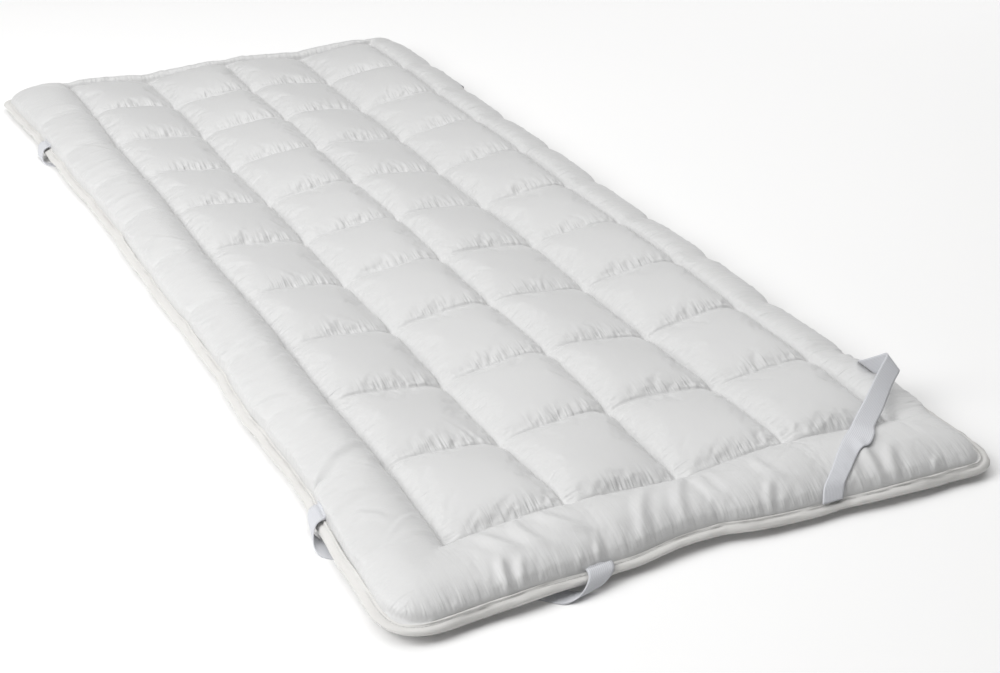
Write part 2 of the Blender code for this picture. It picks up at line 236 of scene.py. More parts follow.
def topHeight(cellX, edgeX, cellY, edgeY):
    form = padForm
    base = seamHeight(cellX, cellY)
    share = edgeShare(edgeX, edgeY)
    # where two seams cross, both are drawn down
    offX, offY = cellX - np.round(cellX), cellY - np.round(cellY)
    base = base - form["crossingDip"] * (share < 3 * form["dipOnBorder"]) * np.exp(
        -(offX ** 2 + offY ** 2) / form["dipReach"] ** 2 - (share / form["dipOnBorder"]) ** 2)
    waveX, waveY = form["crownWaves"]
    crown = form["crown"] * (1 + form["crownSpread"] * np.sin(
        waveX * np.floor(cellX) + waveY * np.floor(cellY)))
    # the cross seams between cells are drawn down less than the long ones
    fromEnds = np.minimum(cellY, form["rows"] - cellY) / form["riseReach"]
    rise = form["crossRise"] * np.clip(fromEnds, 0, 1)
    cells = base + crown * swell(cellX % 1) * (rise + (1 - rise) * swell(cellY % 1))
    pullX, pullY = edgeX ** 2, edgeY ** 2
    total = np.maximum(pullX + pullY, 1e-9)
    height = (bySide(edgeX, "left", "right", "swell") * pullX
              + bySide(edgeY, "front", "back", "swell") * pullY) / total
    beside = (waist(cellY) * pullX * bySide(edgeX, "left", "right", "waist")
              + waist(cellX) * pullY * bySide(edgeY, "front", "back", "waist")) / total
    height = height * (1 - beside)
    rim = rimHeight(cellX, cellY, form["rimTop"])
    border = base * (1 - share) + rim * share + height * swell(share, *form["borderCurve"])
    return np.where(share == 0, cells, border)


def underHeight(cellX, edgeX, cellY, edgeY):
    # flat on the ground under each cell, drawn up at the seams and at the rim
    form = padForm
    seam = seamHeight(cellX, cellY) - form["seamThickness"]
    share = edgeShare(edgeX, edgeY)
    off = np.minimum(np.abs(cellX - np.round(cellX)), np.abs(cellY - np.round(cellY)))
    fade = form["underFade"]
    drawn = np.maximum(0, np.exp(-off / form["underReach"]) - fade) / (1 - fade)
    rimPull = np.maximum(0, share - form["underRim"]) / (1 - form["underRim"])
    border = seam * np.exp(-share / form["underSeam"]) * (share < 0.5)
    border = border + rimHeight(cellX, cellY, form["rimLow"]) * rimPull ** form["underCurve"]
    return np.where(share == 0, seam * drawn, border)


def bulgeOut(cellX, edgeX, cellY, edgeY):
    # the borders' filling stands out over the bound edge
    form = padForm
    share = edgeShare(edgeX, edgeY)
    push = (np.exp(-((share - form["bulgeAt"]) / form["bulgeReach"]) ** 2)
            * np.clip((1 - share) / form["bulgeStop"], 0, 1))
    partX, partY = np.abs(edgeX) ** 4, np.abs(edgeY) ** 4
    total = np.maximum(partX + partY, 1e-9)
    besideX = 1 - form["notch"] * np.exp(-np.abs(cellY - np.round(cellY)) / form["notchReach"])
    besideY = 1 - form["notch"] * np.exp(-np.abs(cellX - np.round(cellX)) / form["notchReach"])
    pushX = push * besideX * partX / total * bySide(edgeX, "left", "right", "bulge")
    pushY = push * besideY * partY / total * bySide(edgeY, "front", "back", "bulge")
    return pushX * np.sign(edgeX), pushY * np.sign(edgeY)


padLinesX = meshLines(padSides["left"], padForm["columns"], padSides["right"])
padLinesY = meshLines(padSides["front"], padForm["rows"], padSides["back"])
lineX = (padLinesX[0][None, :], padLinesX[1][None, :])
lineY = (padLinesY[0][:, None], padLinesY[1][:, None])
placeX, placeY = padPlace(*lineX, *lineY)
bulgeX, bulgeY = bulgeOut(*lineX, *lineY)
padTop = np.stack([placeX + bulgeX, placeY + bulgeY, topHeight(*lineX, *lineY)], axis=2)
seamColumns = [padSides["left"]["lines"] + k * padForm["linesPerCell"]
               for k in range(padForm["columns"] + 1)]
seamRows = [padSides["front"]["lines"] + k * padForm["linesPerCell"]
            for k in range(padForm["rows"] + 1)]
print("pad lines", padTop.shape)

# puckers: short folds that the sewing draws up beside a seam. Each kind has how many there
# are to a metre, how high they stand, how wide they are and how far they run from the seam
puckerKinds = {
    "farOfCross": {"perMetre": 85, "height": 0.0007, "width": 0.0032, "run": 0.024, "lean": 0.22},
    "nearOfCross": {"perMetre": 50, "height": 0.0002, "width": 0.0034, "run": 0.010, "lean": 0.2},
    "rightOfLong": {"perMetre": 80, "height": 0.0004, "width": 0.0032, "run": 0.020, "lean": 0.5},
    "leftOfLong": {"perMetre": 50, "height": 0.0002, "width": 0.0034, "run": 0.012, "lean": 0.4},
    "leftBorder": {"perMetre": 60, "height": 0.0006, "width": 0.0040, "run": 0.050, "lean": 0.3},
    "rightBorder": {"perMetre": 50, "height": 0.0005, "width": 0.0040, "run": 0.026, "lean": 0.6},
    "frontBorder": {"perMetre": 50, "height": 0.0006, "width": 0.0038, "run": 0.035, "lean": 0.5},
    "rim": {"perMetre": 60, "height": 0.0009, "width": 0.0034, "run": 0.016, "lean": 0.3},
}
# and how far each pucker's place, size, width, run and bend may vary
puckerSpread = {"place": (0.05, 0.95), "size": (3.5, 0.28), "width": (0.7, 1.5),
                "run": (0.5, 1.6), "bend": 6, "groove": 0.6, "grooveAt": 1.7}
puckerDraw = np.random.default_rng(11)


def puckered(along, away, kind):
    # height added at points at this distance along the seam and away from it
    start, stop = along.min(), along.max()
    count = int((stop - start) * kind["perMetre"])
    spread = puckerSpread
    added = np.zeros(along.shape)
    for k in range(count):
        middle = start + (k + puckerDraw.uniform(*spread["place"])) * (stop - start) / count
        size = puckerDraw.gamma(*spread["size"])
        width = kind["width"] * puckerDraw.uniform(*spread["width"])
        run = kind["run"] * puckerDraw.uniform(*spread["run"])
        lean = kind["lean"] * puckerDraw.normal()
        bend = puckerDraw.normal() * spread["bend"]
        centre = middle + lean * away + bend * away ** 2
        wide = width * (1 + away / run * 0.5)
        rise = away / (run / 3) * np.exp(1 - away / (run / 3))
        ridge = np.exp(-((along - centre) / wide) ** 2)
        groove = np.exp(-((along - centre - spread["grooveAt"] * wide) / wide) ** 2)
        added += kind["height"] * size * rise * (ridge - spread["groove"] * groove)
    return added


def addPuckers(places):
    lifted = places.copy()
    x, y = places[:, :, 0], places[:, :, 1]
    rows, columns = x.shape

    def pucker(part, along, away, kind, ends=1):
        lifted[part][..., 2] += ends * puckered(along[part], away, puckerKinds[kind])

    for index, row in enumerate(seamRows):
        for column in range(padForm["columns"]):
            left, right = seamColumns[column], seamColumns[column + 1] + 1
            across = slice(left, right)
            seam = y[row:row + 1, across]
            share = (x[row:row + 1, across] - x[row, left]) / (x[row, right - 1] - x[row, left])
            # puckers are faint at the left end of a cross seam, and over half of the first
            start = 0.5 if index == 0 else 0.15
            ends = swell(share, 3, 0.5) * np.clip((share - start) / 0.35, 0.1, 1)
            if index < len(seamRows) - 1:
                part = (slice(row, seamRows[index + 1]), across)
                pucker(part, x, y[part] - seam, "farOfCross", ends)
            if index > 0:
                part = (slice(seamRows[index - 1] + 1, row + 1), across)
                pucker(part, x, seam - y[part], "nearOfCross", ends)
    for index, column in enumerate(seamColumns):
        for row in range(padForm["rows"]):
            front, back = seamRows[row], seamRows[row + 1] + 1
            along = slice(front, back)
            seam = x[along, column:column + 1]
            ends = swell((y[along, column:column + 1] - y[front, column])
                         / (y[back - 1, column] - y[front, column]), 3, 0.5)
            if index < len(seamColumns) - 1:
                part = (along, slice(column, seamColumns[index + 1]))
                pucker(part, y, x[part] - seam, "rightOfLong", ends)
            if index > 0:
                part = (along, slice(seamColumns[index - 1] + 1, column + 1))
                pucker(part, y, seam - x[part], "leftOfLong", ends)
    # the borders, from their seam outwards and from the bound edge inwards
    along = slice(seamRows[0], seamRows[-1] + 1)
    across = slice(seamColumns[0], seamColumns[-1] + 1)
    left = (along, slice(0, seamColumns[0] + 1))
    pucker(left, y, x[along, seamColumns[0]:seamColumns[0] + 1] - x[left], "leftBorder")
    pucker(left, y, x[left] - x[along, :1], "rim")
    right = (along, slice(seamColumns[-1], columns))
    pucker(right, y, x[right] - x[along, seamColumns[-1]:seamColumns[-1] + 1], "rightBorder")
    pucker(right, y, x[along, -1:] - x[right], "rim")
    front = (slice(0, seamRows[0] + 1), across)
    pucker(front, x, y[seamRows[0]:seamRows[0] + 1, across] - y[front], "frontBorder")
    pucker(front, x, y[front] - y[:1, across], "rim")
    back = (slice(seamRows[-1], rows), across)
    pucker(back, x, y[back] - y[seamRows[-1]:seamRows[-1] + 1, across], "rightBorder")
    return lifted


# larger folds drawn on the front border, given one by one: from x, y to x, y, bow, height, half
# width
frontFolds = (
    (-0.269, -0.879, -0.249, -0.922, 0.004, 0.0034, 0.0085),
    (-0.226, -0.877, -0.214, -0.930, 0.005, 0.0030, 0.0080),
    (-0.189, -0.874, -0.158, -0.922, 0.006, 0.0032, 0.0090),
    (-0.273, -0.940, -0.276, -0.990, 0.003, 0.0042, 0.0060),
    (-0.250, -0.946, -0.258, -0.990, 0.002, 0.0040, 0.0060),
    (-0.374, -0.974, -0.377, -0.992, 0.001, 0.0028, 0.0045),
    (-0.345, -0.972, -0.349, -0.992, 0.001, 0.0026, 0.0045),
    (-0.152, -0.952, -0.154, -0.980, 0.001, 0.0024, 0.0045),
    (0.110, -0.888, 0.121, -0.930, 0.005, 0.0026, 0.0075),
    (0.100, -0.938, 0.086, -0.978, 0.003, 0.0026, 0.0060),
    (0.108, -0.958, 0.101, -0.982, 0.001, 0.0022, 0.0050),
    (0.030, -0.884, 0.031, -0.930, 0.004, 0.0026, 0.0075),
    (0.008, -0.878, -0.028, -0.950, 0.006, 0.0024, 0.0075),
    (-0.049, -0.884, -0.090, -0.965, 0.006, 0.0026, 0.0080),
    (0.282, -0.940, 0.268, -0.995, 0.004, 0.0030, 0.0080),
    (0.252, -0.920, 0.249, -0.985, 0.003, 0.0034, 0.0080),
    (0.334, -0.972, 0.324, -0.996, 0.001, 0.0022, 0.0050),
)
# and fainter ones across the left border
leftFolds = (
    (-0.361, 0.304, -0.415, 0.269, 0.006, 0.0028, 0.0095),
    (-0.397, 0.172, -0.410, 0.145, 0.002, 0.0026, 0.0060),
    (-0.379, 0.107, -0.405, 0.060, 0.003, 0.0028, 0.0070),
    (-0.395, 0.007, -0.410, -0.011, 0.002, 0.0024, 0.0060),
    (-0.381, -0.216, -0.401, -0.239, 0.003, 0.0026, 0.0070),
    (-0.382, -0.282, -0.408, -0.301, 0.003, 0.0028, 0.0075),
    (-0.355, -0.304, -0.392, -0.326, 0.004, 0.0024, 0.0080),
    (-0.318, -0.545, -0.360, -0.538, 0.004, 0.0028, 0.0090),
    (-0.328, -0.623, -0.412, -0.682, 0.008, 0.0030, 0.0095),
    (-0.368, -0.469, -0.405, -0.466, 0.003, 0.0022, 0.0070),
    (-0.362, -0.735, -0.413, -0.751, 0.006, 0.0028, 0.0090),
    (-0.359, -0.795, -0.390, -0.777, 0.003, 0.0022, 0.0065),
    (-0.374, -0.775, -0.390, -0.773, 0.002, 0.0020, 0.0055),
)
# how a fold fades near the bound edge and at its ends, and the grooves beside it
foldShape = {"clearOf": 0.0165, "fade": 0.012, "taper": 0.62, "groove": 0.35, "grooveAt": 1.7}


def addFolds(places, folds):
    folded = places.copy()
    x, y = places[:, :, 0], places[:, :, 1]
    for startX, startY, stopX, stopY, bow, height, width in folds:
        runX, runY = stopX - startX, stopY - startY
        long = math.hypot(runX, runY)
        along = ((x - startX) * runX + (y - startY) * runY) / long ** 2
        beside = ((x - startX) * runY - (y - startY) * runX) / long
        beside = beside - bow * 4 * along * (1 - along)
        taper = np.exp(-np.abs((along - 0.5) / foldShape["taper"]) ** 4)
        ridge = np.exp(-(beside / width) ** 2)
        groove = np.exp(-((np.abs(beside) - foldShape["grooveAt"] * width) / width) ** 2)
        onTop = np.clip((places[:, :, 2] - foldShape["clearOf"]) / foldShape["fade"], 0, 1)
        folded[..., 2] += height * taper * (ridge - foldShape["groove"] * groove) * onTop
    return folded


# the cloth over the filling, blown up between its seams by a cloth simulation
clothSim = {"every": 2, "frames": 12, "quality": 4, "pressure": 2.0, "mass": 0.15,
            "stretch": 25, "shear": 8, "bend": 0.12, "damping": 15, "shearDamping": 10,
            "bendDamping": 0.5, "spare": -0.010, "mostMove": 0.006, "borderShare": 0.3}


def pinnedPoints(rows, columns):
    pinned = np.zeros((rows, columns), bool)
    for column in seamColumns:
        pinned[seamRows[0]:seamRows[-1] + 1, column] = True
    for row in seamRows:
        pinned[row, seamColumns[0]:seamColumns[-1] + 1] = True
    pinned[0] = pinned[-1] = True
    pinned[:, 0] = pinned[:, -1] = True
    return pinned


def blownUp(piece, pinned, settings):
    before = readPlaces(piece)
    group = piece.vertex_groups.new(name="sewn")
    group.add([int(k) for k in np.nonzero(pinned.ravel())[0]], 1.0, "REPLACE")
    cloth = piece.modifiers.new("cloth", "CLOTH")
    cloth.settings.vertex_group_mass = "sewn"
    cloth.settings.quality = settings["quality"]
    cloth.settings.mass = settings["mass"]
    cloth.settings.tension_stiffness = settings["stretch"]
    cloth.settings.compression_stiffness = settings["stretch"]
    cloth.settings.shear_stiffness = settings["shear"]
    cloth.settings.bending_stiffness = settings["bend"]
    cloth.settings.tension_damping = settings["damping"]
    cloth.settings.compression_damping = settings["damping"]
    cloth.settings.shear_damping = settings["shearDamping"]
    cloth.settings.bending_damping = settings["bendDamping"]
    cloth.settings.use_pressure = True
    cloth.settings.uniform_pressure_force = settings["pressure"]
    cloth.settings.effector_weights.gravity = 0
    cloth.settings.shrink_min = settings["spare"]
    cloth.collision_settings.use_collision = False
    cloth.point_cache.frame_start = 1
    cloth.point_cache.frame_end = settings["frames"]
    for number in range(1, settings["frames"] + 1):
        bpy.context.scene.frame_set(number)
    makeActive(piece)
    bpy.ops.object.modifier_apply(modifier="cloth")
    bpy.context.scene.frame_set(1)
    piece.vertex_groups.clear()
    moved = readPlaces(piece) - before
    far = np.linalg.norm(moved, axis=1, keepdims=True)
    return before + moved * np.minimum(1, settings["mostMove"] / np.maximum(far, 1e-9))


def spreadOut(values, step):
    # from every few lines to all of them, smoothly, down the rows
    count = (len(values) - 1) * step + 1
    at = np.arange(count) / step
    low = np.minimum(at.astype(int), len(values) - 2)
    t = (at - low)[:, None, None]
    before = values[np.maximum(low - 1, 0)]
    here, there = values[low], values[low + 1]
    after = values[np.minimum(low + 2, len(values) - 1)]
    return (here + 0.5 * t * (there - before + t * (
        2 * before - 5 * here + 4 * there - after + t * (3 * (here - there) + after - before))))


def movedBySim(places, settings):
    # the simulation runs on every few lines, and its movement is spread to the rest
    step = settings["every"]
    coarse = places[::step, ::step]
    rows, columns = coarse.shape[:2]
    sheet = gridSheet("cloth_test", columns - 1, rows - 1, coarse)
    pinned = pinnedPoints(*places.shape[:2])[::step, ::step]
    moved = blownUp(sheet, pinned, settings).reshape(rows, columns, 3) - coarse
    bpy.data.objects.remove(sheet)
    moved = spreadOut(moved, step)
    return spreadOut(moved.swapaxes(0, 1), step).swapaxes(0, 1)


topRows, topColumns = padTop.shape[:2]
topSheet = gridSheet("filled_pad", topColumns - 1, topRows - 1, padTop)
onBorders = edgeShare(lineX[1], lineY[1]) > 0
share = np.where(onBorders, clothSim["borderShare"], 1)
padTop = padTop + share[..., None] * movedBySim(padTop, clothSim)
padTop = addFolds(addPuckers(padTop), frontFolds + leftFolds)
setPlaces(topSheet, padTop)
print("top cloth shaped")

# underside: fewer lines, the same rim
underSteps = {"cell": (0, 2, 6, 12, 22, 32, 42, 52, 58, 62), "border": 5}


def underLines(first, cells, last, count):
    lines = list(range(0, first, underSteps["border"]))
    for cell in range(cells):
        lines += [first + cell * padForm["linesPerCell"] + step for step in underSteps["cell"]]
    lines += list(range(first + cells * padForm["linesPerCell"], count - 1,
                        underSteps["border"]))
    return lines + [count - 1]


underColumns = underLines(padSides["left"]["lines"], padForm["columns"],
                          padSides["right"]["lines"], topColumns)
underRows = underLines(padSides["front"]["lines"], padForm["rows"],
                       padSides["back"]["lines"], topRows)

# straps sewn under three corners: which corner, and for the end on the long edge and the end
# on the short edge: place from the corner, slide, bulge and delay of the loop
underStraps = {
    "elastic_front_left": {"side": (-1, -1), "flank": (0.2835, 1.0, 1.0, 1.0),
                           "cross": (0.280, 1.0, 1.3, 1.0), "node": "strap_front_left"},
    "elastic_back_left": {"side": (-1, 1), "flank": (0.313, -0.9, 1.2, 3.0),
                          "cross": (0.297, 0.4, 0.2, 3.0), "node": "strap_back_left"},
    "elastic_back_right": {"side": (1, 1), "flank": (0.343, 0.4, 0.2, 3.0),
                           "cross": (0.250, 0.4, 0.2, 3.0), "node": "strap_back_right"},
}
# a loop from its seam to the ground: slide, clear of the binding, bulge, height, turn, width
strapLoop = (
    (0.000, -0.0143, 0.0000, 1.22, 0.00, 0.037), (0.001, -0.0085, 0.0000, 1.28, 0.01, 0.037),
    (0.003, -0.0015, 0.0000, 1.14, 0.03, 0.037), (0.009, 0.0022, 0.0010, 0.88, 0.08, 0.036),
    (0.019, 0.0024, 0.0037, 0.54, 0.18, 0.034), (0.029, 0.0024, 0.0044, 0.30, 0.29, 0.031),
    (0.039, 0.0010, 0.0034, 0.13, 0.47, 0.029), (0.049, -0.0032, 0.0024, 0.03, 0.70, 0.028),
    (0.062, -0.0153, 0.0010, 0.00, 0.95, 0.028),
)
strapCloth = {"thickness": 0.0012, "rest": 0.0016, "lie": 0.0020, "layReach": 0.008,
              "columns": 10, "steps": 7, "margin": 0.13, "roomRise": 12}


def landing(end):
    return end[0] - strapLoop[-1][0] * end[1]


def strapRoom(x, y):
    # how far the underside is lifted by the straps that run below it
    room = np.zeros(x.shape)
    for strap in underStraps.values():
        inX = padForm["width"] / 2 - x * strap["side"][0]
        inY = padForm["length"] / 2 - y * strap["side"][1]
        reach = (inX / (landing(strap["cross"]) + strapCloth["margin"])
                 + inY / (landing(strap["flank"]) + strapCloth["margin"]))
        room = np.maximum(room, np.clip((1 - reach) * strapCloth["roomRise"], 0, 1))
    return room * padForm["strapRoom"]


def closedPad(topSheet):
    subX = (padLinesX[0][underColumns][None, :], padLinesX[1][underColumns][None, :])
    subY = (padLinesY[0][underRows][:, None], padLinesY[1][underRows][:, None])
    x, y = padPlace(*subX, *subY)
    z = np.maximum(underHeight(*subX, *subY), strapRoom(x, y))
    under = gridSheet("underside", len(underColumns) - 1, len(underRows) - 1,
                      np.stack([x, y, z], axis=2))
    first = len(topSheet.data.vertices)
    whole = joined("filled_pad", [topSheet, under])
    shell = bmesh.new()
    shell.from_mesh(whole.data)
    shell.verts.ensure_lookup_table()

    def topAt(row, column):
        return shell.verts[row * topColumns + column]

    def underAt(row, column):
        return shell.verts[first + row * len(underColumns) + column]

    # the rim's faces, each from a few top points to two underside points
    for row, column in ((0, 0), (-1, -1)):
        topRow, underRow = row % topRows, row % len(underRows)
        for k in range(len(underColumns) - 1):
            edge = [topAt(topRow, c) for c in range(underColumns[k], underColumns[k + 1] + 1)]
            shell.faces.new(edge + [underAt(underRow, k + 1), underAt(underRow, k)])
        topColumn, underColumn = column % topColumns, column % len(underColumns)
        for k in range(len(underRows) - 1):
            edge = [topAt(r, topColumn) for r in range(underRows[k], underRows[k + 1] + 1)]
            shell.faces.new(edge + [underAt(k + 1, underColumn), underAt(k, underColumn)])
    bmesh.ops.recalc_face_normals(shell, faces=shell.faces[:])
    shell.to_mesh(whole.data)
    shell.free()
    return whole


# fine folds too small for the mesh: how strongly they show at each point, for the material.
# Each is the strength beside its seam, and how far from it that is reached
fineFolds = {"farOfCross": (0.85, 0.007), "nearOfCross": (0.25, 0.004),
             "rightOfLong": (0.60, 0.008), "leftOfLong": (0.30, 0.005),
             "border": (0.45, 0.010), "rim": (0.50, 0.008),
             "tube": {"left": 0.12, "right": 0.34, "front": 0.08, "back": 0.30}}


def besideSeam(away, kind):
    strength, reach = fineFolds[kind]
    return strength * away / reach * np.exp(1 - away / reach)


def foldShares():
    cellX, edgeX, cellY, edgeY = np.broadcast_arrays(*lineX, *lineY)
    wide = padForm["width"] - padSides["left"]["border"] - padSides["right"]["border"]
    long = padForm["length"] - padSides["front"]["border"] - padSides["back"]["border"]
    wide, long = wide / padForm["columns"], long / padForm["rows"]
    x, y = cellX % 1, cellY % 1
    lengthwise = (besideSeam(y * long, "farOfCross") * np.clip((x - 0.1) / 0.3, 0.2, 1)
                  + besideSeam((1 - y) * long, "nearOfCross"))
    across = besideSeam(x * wide, "rightOfLong") + besideSeam((1 - x) * wide, "leftOfLong")
    share = edgeShare(edgeX, edgeY)
    onSides = np.abs(edgeX) > np.abs(edgeY)
    deep = np.where(onSides, bySide(edgeX, "left", "right", "border"),
                    bySide(edgeY, "front", "back", "border"))
    tube = fineFolds["tube"]
    tube = np.where(onSides, np.where(edgeX < 0, tube["left"], tube["right"]),
                    np.where(edgeY < 0, tube["front"], tube["back"]))
    border = (besideSeam(share * deep, "border") + besideSeam((1 - share) * deep, "rim")
              + tube * swell(share))
    inside = share == 0
    return np.stack([np.where(inside, lengthwise, border * ~onSides),
                     np.where(inside, across, border * onSides), 0 * share], axis=2)


filledPad = closedPad(topSheet)
filledPad.data.shade_smooth()
shares = np.zeros((len(filledPad.data.vertices), 3), np.float32)
shares[:topRows * topColumns] = foldShares().reshape(-1, 3)
filledPad.data.attributes.new("foldShares", "FLOAT_VECTOR", "POINT")
filledPad.data.attributes["foldShares"].data.foreach_set("vector", shares.ravel())
print("pad closed", len(filledPad.data.polygons), "faces")


# the bound edge: a tape folded round the rim, with a ridge along its inner side.
# Its section runs outwards from the rim and up from the rim's middle, in millimetres
bindingTape = {
    "section": ((-1.2, 2.0), (-1.2, 4.2), (-0.6, 5.3), (0.4, 5.9), (1.4, 5.8), (2.2, 5.0),
                (2.8, 4.1), (3.8, 3.6), (6.4, 3.4), (9.2, 2.5), (11.4, 0.7), (12.6, -1.2),
                (12.1, -3.0), (9.8, -4.1), (5.0, -4.4), (0.0, -4.2), (-1.2, -3.2)),
    "middle": (5.0, 0.0), "twist": 0.16,
    "ripple": 0.00035, "rippleReach": 3.2, "rippleUp": 0.6, "rippleDraw": 5,
    "slowReach": 12, "twistReach": 24, "threadOut": 0.0033, "threadUp": 0.0041,
}


def rimRing():
    # rim points of the top sheet, anticlockwise from the front left corner
    front = [(0, c) for c in range(topColumns - 1)]
    right = [(r, topColumns - 1) for r in range(topRows - 1)]
    back = [(topRows - 1, c) for c in range(topColumns - 1, 0, -1)]
    left = [(r, 0) for r in range(topRows - 1, 0, -1)]
    return front + right + back + left


def smoothNoise(count, reach, draw):
    # closed run of random numbers, smoothed over this many neighbours
    noise = draw.normal(size=count)
    steps = np.minimum(np.arange(count), count - np.arange(count))
    kernel = np.exp(-((steps / reach) ** 2))
    smooth = np.fft.irfft(np.fft.rfft(noise) * np.fft.rfft(kernel), count)
    return smooth / smooth.std()


def ringLines():
    ring = rimRing()
    rows = np.array([r for r, c in ring])
    columns = np.array([c for r, c in ring])
    rim = padTop[rows, columns].copy()
    rim[:, 2] = rimHeight(padLinesX[0][columns], padLinesY[0][rows],
                          (padForm["rimTop"] + padForm["rimLow"]) / 2)
    run = np.roll(rim, -1, axis=0) - np.roll(rim, 1, axis=0)
    outward = np.stack([run[:, 1], -run[:, 0]], axis=1)
    return rim, outward / np.linalg.norm(outward, axis=1, keepdims=True)


def makeBinding(tape):
    rim, outward = ringLines()
    count = len(rim)
    draw = np.random.default_rng(tape["rippleDraw"])
    section = np.array(tape["section"]) / 1000
    places = np.zeros((len(section), count, 3))
    slow = smoothNoise(count, tape["slowReach"], draw)
    twist = tape["twist"] * smoothNoise(count, tape["twistReach"], draw)
    cosine, sine = np.cos(twist), np.sin(twist)
    middle = np.array(tape["middle"]) / 1000
    for k, (flatOut, flatUp) in enumerate(section - middle):
        out = middle[0] + flatOut * cosine - flatUp * sine
        up = middle[1] + flatOut * sine + flatUp * cosine
        ripple = tape["ripple"] * (smoothNoise(count, tape["rippleReach"], draw) + slow)
        places[k, :, :2] = rim[:, :2] + outward * (out + ripple)[:, None]
        places[k, :, 2] = rim[:, 2] + up + tape["rippleUp"] * ripple
    # closed both ways, then merged
    places = np.concatenate([places, places[:, :1]], axis=1)
    places = np.concatenate([places, places[:1]], axis=0)
    strip = gridSheet("bound_edge", count, len(section), places)
    makeActive(strip)
    bpy.ops.object.mode_set(mode="EDIT")
    bpy.ops.mesh.select_all(action="SELECT")
    bpy.ops.mesh.remove_doubles(threshold=0.00002)
    bpy.ops.mesh.normals_make_consistent(inside=False)
    bpy.ops.object.mode_set(mode="OBJECT")
    strip.data.shade_smooth()
    return strip


boundEdge = makeBinding(bindingTape)
print("binding made", len(boundEdge.data.polygons), "faces")


# stitches: one is modelled, then repeated along each sewn line
seamThread = {"long": 0.0034, "thick": 0.0006, "pitch": 0.0044, "dive": 0.0004,
              "diveFrom": 0.4, "proud": 0.0002}


def oneStitch(thread):
    nothingSelected()
    bpy.ops.mesh.primitive_cylinder_add(vertices=5, radius=thread["thick"] / 2,
                                        depth=thread["long"], rotation=(0, math.pi / 2, 0))
    stitch = bpy.context.object
    bpy.ops.object.transform_apply(location=False, rotation=True, scale=False)
    bpy.ops.object.mode_set(mode="EDIT")
    bpy.ops.mesh.select_all(action="SELECT")
    bpy.ops.mesh.bisect(plane_co=(0, 0, 0), plane_no=(1, 0, 0))
    bpy.ops.object.mode_set(mode="OBJECT")
    # both ends go down into the cloth
    points = stitch.data.vertices
    for point in points:
        point.select = abs(point.co.x) > thread["long"] * thread["diveFrom"]
    for part in (*stitch.data.edges, *stitch.data.polygons):
        part.select = all(points[k].select for k in part.vertices)
    bpy.ops.object.mode_set(mode="EDIT")
    bpy.ops.transform.translate(value=(0, 0, -thread["dive"]))
    bpy.ops.object.mode_set(mode="OBJECT")
    stitch.data.shade_smooth()
    return stitch


def sewnLine(name, points, thread, closed=False):
    line = bpy.data.curves.new(name, "CURVE")
    line.dimensions = "3D"
    line.twist_mode = "Z_UP"
    spline = line.splines.new("POLY")
    spline.points.add(len(points) - 1)
    spline.points.foreach_set("co", np.c_[points, np.ones(len(points))].astype(np.float32).ravel())
    spline.use_cyclic_u = closed
    guide = bpy.data.objects.new(name, line)
    bpy.context.scene.collection.objects.link(guide)
    stitch = oneStitch(thread)
    repeat = stitch.modifiers.new("repeat", "ARRAY")
    repeat.fit_type = "FIT_CURVE"
    repeat.curve = guide
    repeat.use_relative_offset = False
    repeat.use_constant_offset = True
    repeat.constant_offset_displace = (thread["pitch"], 0, 0)
    follow = stitch.modifiers.new("follow", "CURVE")
    follow.object = guide
    applyAll(stitch)
    bpy.data.objects.remove(guide)
    return stitch


def quiltingLines():
    up = np.array([0, 0, seamThread["proud"]])
    lines = [padTop[seamRows[0]:seamRows[-1] + 1, column] + up for column in seamColumns]
    lines += [padTop[row, seamColumns[0]:seamColumns[-1] + 1] + up for row in seamRows]
    return lines


quiltingThread = joined("quilting_thread", [sewnLine("seam", points, seamThread)
                                            for points in quiltingLines()])
rimPlaces, rimOutward = ringLines()
groove = rimPlaces.copy()
groove[:, :2] += rimOutward * bindingTape["threadOut"]
groove[:, 2] += bindingTape["threadUp"]
bindingThread = named(sewnLine("seam", groove, seamThread, closed=True), "binding_thread")
print("sewn lines made", len(quiltingThread.data.polygons), len(bindingThread.data.polygons))


# the straps: thin elastic, on the folds of the CAD straps
def surfaceOf(pieces):
    shape = bmesh.new()
    for piece in pieces:
        shape.from_mesh(piece.data)
    surface = BVHTree.FromBMesh(shape)
    shape.free()
    return surface


padSurface = surfaceOf([filledPad, boundEdge])


def edgePlace(side, onFlank, place):
    # the rim at a distance from the strap's corner, along one of its two edges
    if onFlank:
        points = padTop[:, 0 if side[0] < 0 else -1]
        target = side[1] * (padForm["length"] / 2 - place)
    else:
        points = padTop[0 if side[1] < 0 else -1]
        target = side[0] * (padForm["width"] / 2 - place)
    axis = 1 if onFlank else 0
    values = [float(np.interp(target, points[:, axis], points[:, k])) for k in range(3)]
    return Vector(values)


def loopSections(strap, onFlank, runTurn):
    place, slide, bulge, delay = strap["flank"] if onFlank else strap["cross"]
    side = strap["side"]
    outward = Vector((side[0], 0, 0)) if onFlank else Vector((0, side[1], 0))
    ground = strapCloth["rest"] / 2
    sections = []
    for rowSlide, rowClear, rowBulge, rowHeight, rowTurn, rowWidth in strapLoop:
        turn = rowTurn ** delay * runTurn
        pair = []
        for way in (1, -1):
            half = way * rowWidth / 2
            at = place - rowSlide * slide + half * math.cos(turn)
            rim = edgePlace(side, onFlank, at)
            out = padForm["edging"] + rowClear + rowBulge * bulge - half * math.sin(turn)
            point = rim + outward * out
            point.z = ground + rowHeight * (rim.z - ground)
            pair.append(point)
        sections.append(pair)
    return sections


def underStrapSections(strap):
    turn = math.atan2(landing(strap["cross"]), landing(strap["flank"]))
    flank = loopSections(strap, True, turn)
    cross = loopSections(strap, False, math.pi / 2 - turn)
    return flank + cross[::-1]


